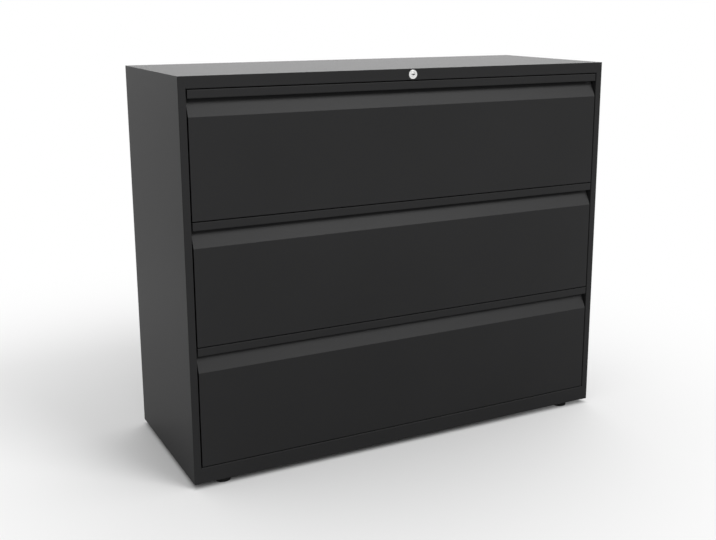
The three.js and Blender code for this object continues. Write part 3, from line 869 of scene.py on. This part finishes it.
class CABINET_OT_tray_ribs(bpy.types.Operator):
    """Low round-ended ribs pressed up in each tray's bottom."""

    bl_idname = "cabinet.tray_ribs"
    bl_label = "Tray ribs"

    def execute(self, context):
        sizes = context.scene.cabinet_fittings
        ribs = Pattern(self.rib)
        for drawer in DRAWERS:
            low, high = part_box(f"{drawer}_tray")
            for number in range(sizes.rib_count):
                share = (number + 0.5) / sizes.rib_count
                place = Vector((low.x + share * (high.x - low.x), (low.y + high.y) / 2, low.z + SHEET))
                rib = ribs.at(f"{drawer}_rib_{number + 1}", place, high.y - low.y, sizes)
                fit_piece(rib, drawer, "paint")
        return {"FINISHED"}

    def rib(self, name, place, depth, sizes):
        half = Vector((sizes.rib_width / 2, depth * RIB_REACH, 0.0))
        low = place - half - Vector((0, 0, RIB_ROOT))
        high = place + half + Vector((0, 0, sizes.rib_height))
        rib = start_box(name, low, high)
        bevel_edges(rib, edges_along("Z", sizes.rib_height), sizes.rib_width * RIB_END, segments=8)

        def crown(edge):
            return sharp_edge(edge) and all(end.co.z > place.z + RIB_SHOULDER for end in edge.verts)

        bevel_edges(rib, crown, sizes.rib_height * RIB_CROWN, segments=4)
        smooth(rib)
        return rib


# Studio

class CABINET_OT_studio(bpy.types.Operator):
    """Pale floor, broad soft lamps and the camera."""

    bl_idname = "cabinet.studio"
    bl_label = "Studio"

    def execute(self, context):
        studio = context.scene.cabinet_studio
        self.world(context.scene, studio)
        self.floor()
        self.lamp("key", studio.key, KEY_FROM, KEY_WIDTH)
        self.lamp("back", studio.back, BACK_FROM, BACK_WIDTH)
        self.camera(context.scene, studio)
        context.scene.view_settings.view_transform = "Standard"
        return {"FINISHED"}

    def sky(self, tree, strength):
        shader = tree.nodes.new("ShaderNodeBackground")
        shader.inputs["Color"].default_value = WHITE
        shader.inputs["Strength"].default_value = strength
        return shader.outputs["Background"]

    def paper(self, tree, grey):
        shader = tree.nodes.new("ShaderNodeBsdfDiffuse")
        tree.links.new(grey, shader.inputs["Color"])
        return shader.outputs["BSDF"]

    def choose(self, tree, factor, usual, other):
        mix = tree.nodes.new("ShaderNodeMixShader")
        tree.links.new(factor, mix.inputs[0])
        tree.links.new(usual, mix.inputs[1])
        tree.links.new(other, mix.inputs[2])
        return mix.outputs["Shader"]

    def behind(self, tree):
        """One towards the white wall behind the cabinet, fading to none at the sides."""
        direction = tree.nodes.new("ShaderNodeTexCoord").outputs["Generated"]
        return ramp(tree, axes_of(tree, direction)["Y"], WALL_BEHIND, curve="SMOOTHSTEP")

    def world(self, scene, studio):
        """White behind the cabinet, a grey room in shiny surfaces, and an even light on the rest."""
        world = bpy.data.worlds.new("studio")
        world.use_nodes = True
        tree = world.node_tree
        tree.nodes.clear()
        output = tree.nodes.new("ShaderNodeOutputWorld")
        path = tree.nodes.new("ShaderNodeLightPath")
        white = self.sky(tree, 1.0)
        room = self.choose(tree, self.behind(tree), self.sky(tree, studio.room), white)
        light = self.choose(tree, path.outputs["Is Glossy Ray"], self.sky(tree, studio.dome), room)
        light = self.choose(tree, path.outputs["Is Transmission Ray"], light, white)
        light = self.choose(tree, path.outputs["Is Camera Ray"], light, white)
        tree.links.new(light, output.inputs["Surface"])
        scene.world = world

    def pool(self, tree, middle, reach, values=(0.0, 1.0)):
        """A value that changes smoothly outwards from a place on the floor."""
        away = distance(tree, own_place(tree, location=-Vector(middle)))
        return ramp(tree, away, reach, values, curve="SMOOTHSTEP")

    def outside(self, tree):
        """Distance outside the case's footprint, less than nothing under the case."""
        low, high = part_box("left_side_panel")
        quarter = vector_step(tree, "ABSOLUTE", own_place(tree))["Vector"]
        past = axes_of(tree, vector_step(tree, "SUBTRACT", quarter, (-low.x, high.y, 0.0))["Vector"])
        return combine(tree, "MAXIMUM", past["X"], past["Y"])

    def floor(self):
        """Pale paper that fades to white for the camera and is greyer in shiny surfaces, with painted shade
        under the case and, in shiny surfaces, ahead of it.
        """
        floor = start(
            bpy.ops.mesh.primitive_grid_add, "floor", size=FLOOR_SIZE, x_subdivisions=4, y_subdivisions=4)
        finish = bpy.data.materials.new("floor_paper")
        finish.use_nodes = True
        tree = finish.node_tree
        tree.nodes.clear()
        output = tree.nodes.new("ShaderNodeOutputMaterial")
        path = tree.nodes.new("ShaderNodeLightPath")
        beside = self.pool(tree, BESIDE_MIDDLE, BESIDE_REACH, BESIDE_GREY)
        # Darker ahead of the case in shiny surfaces: painted shade in the reflected floor
        reflected_shade_ahead = self.pool(tree, AHEAD_MIDDLE, AHEAD_REACH, AHEAD_REFLECTED_SHADE)
        mirrored = self.paper(tree, combine(tree, "MULTIPLY", beside, reflected_shade_ahead))
        edge = self.outside(tree)
        # The paper is darker where it runs in under the case: painted shade
        pale = self.paper(tree, ramp(tree, edge, CONTACT_REACH, CONTACT_PAINTED_SHADE, curve="SMOOTHSTEP"))
        paper = self.choose(tree, path.outputs["Is Glossy Ray"], pale, mirrored)
        glow = tree.nodes.new("ShaderNodeEmission")
        # The camera's white glow is darker there too: painted shade
        white = ramp(tree, edge, CONTACT_REACH, CONTACT_SHADED_GLOW, curve="SMOOTHSTEP")
        tree.links.new(white, glow.inputs["Color"])
        fade = self.pool(tree, SHADE_MIDDLE, SHADE_REACH)
        seen = combine(tree, "MULTIPLY", path.outputs["Is Camera Ray"], fade)
        look = self.choose(tree, seen, paper, glow.outputs["Emission"])
        tree.links.new(look, output.inputs["Surface"])
        floor.data.materials.append(finish)

    def lamp(self, name, strength, source, width):
        data = bpy.data.lights.new(name, "SUN")
        data.energy = strength
        data.angle = width
        lamp = bpy.data.objects.new(name, data)
        lamp.rotation_euler = Vector(source).to_track_quat("Z", "Y").to_euler()
        bpy.context.scene.collection.objects.link(lamp)

    def camera(self, scene, studio):
        data = bpy.data.cameras.new("camera")
        data.lens = studio.lens
        data.sensor_width = SENSOR
        data.shift_x, data.shift_y = CAMERA_SHIFT
        camera = bpy.data.objects.new("camera", data)
        camera.location = CAMERA_PLACE
        camera.rotation_euler = CAMERA_TURN
        scene.collection.objects.link(camera)
        scene.camera = camera


class CABINET_PT_panel(bpy.types.Panel):
    """Lists the steps and their sizes."""

    bl_label = "Lateral filing cabinet"
    bl_space_type = "VIEW_3D"
    bl_region_type = "UI"
    bl_category = "Cabinet"

    def draw(self, context):
        for group in GROUPS:
            for name in GROUPS[group].__annotations__:
                self.layout.prop(getattr(context.scene, group), name)
        for step in STEPS:
            self.layout.operator(step.bl_idname)


GROUPS = {
    "cabinet_paint": CabinetPaint,
    "cabinet_metal": CabinetMetal,
    "cabinet_lock": CabinetLock,
    "cabinet_fittings": CabinetFittings,
    "cabinet_studio": CabinetStudio,
}
STEPS = (
    CABINET_OT_paint,
    CABINET_OT_bare_finishes,
    CABINET_OT_dress_nodes,
    CABINET_OT_weld_seams,
    CABINET_OT_lock_face,
    CABINET_OT_feet,
    CABINET_OT_slide_screws,
    CABINET_OT_back_rivets,
    CABINET_OT_tray_ribs,
    CABINET_OT_studio,
)
CLASSES = (*GROUPS.values(), *STEPS, CABINET_PT_panel)


def register():
    for item in CLASSES:
        bpy.utils.register_class(item)
    for name, group in GROUPS.items():
        setattr(bpy.types.Scene, name, PointerProperty(type=group))


def unregister():
    for name in GROUPS:
        delattr(bpy.types.Scene, name)
    for item in reversed(CLASSES):
        bpy.utils.unregister_class(item)


def main():
    register()
    bpy.ops.cabinet.paint()
    bpy.ops.cabinet.bare_finishes()
    bpy.ops.cabinet.dress_nodes()
    bpy.ops.cabinet.weld_seams()
    bpy.ops.cabinet.lock_face()
    bpy.ops.cabinet.feet()
    bpy.ops.cabinet.slide_screws()
    bpy.ops.cabinet.back_rivets()
    bpy.ops.cabinet.tray_ribs()
    bpy.ops.cabinet.studio()
    bpy.context.view_layer.update()


if __name__ == "__main__":
    main()
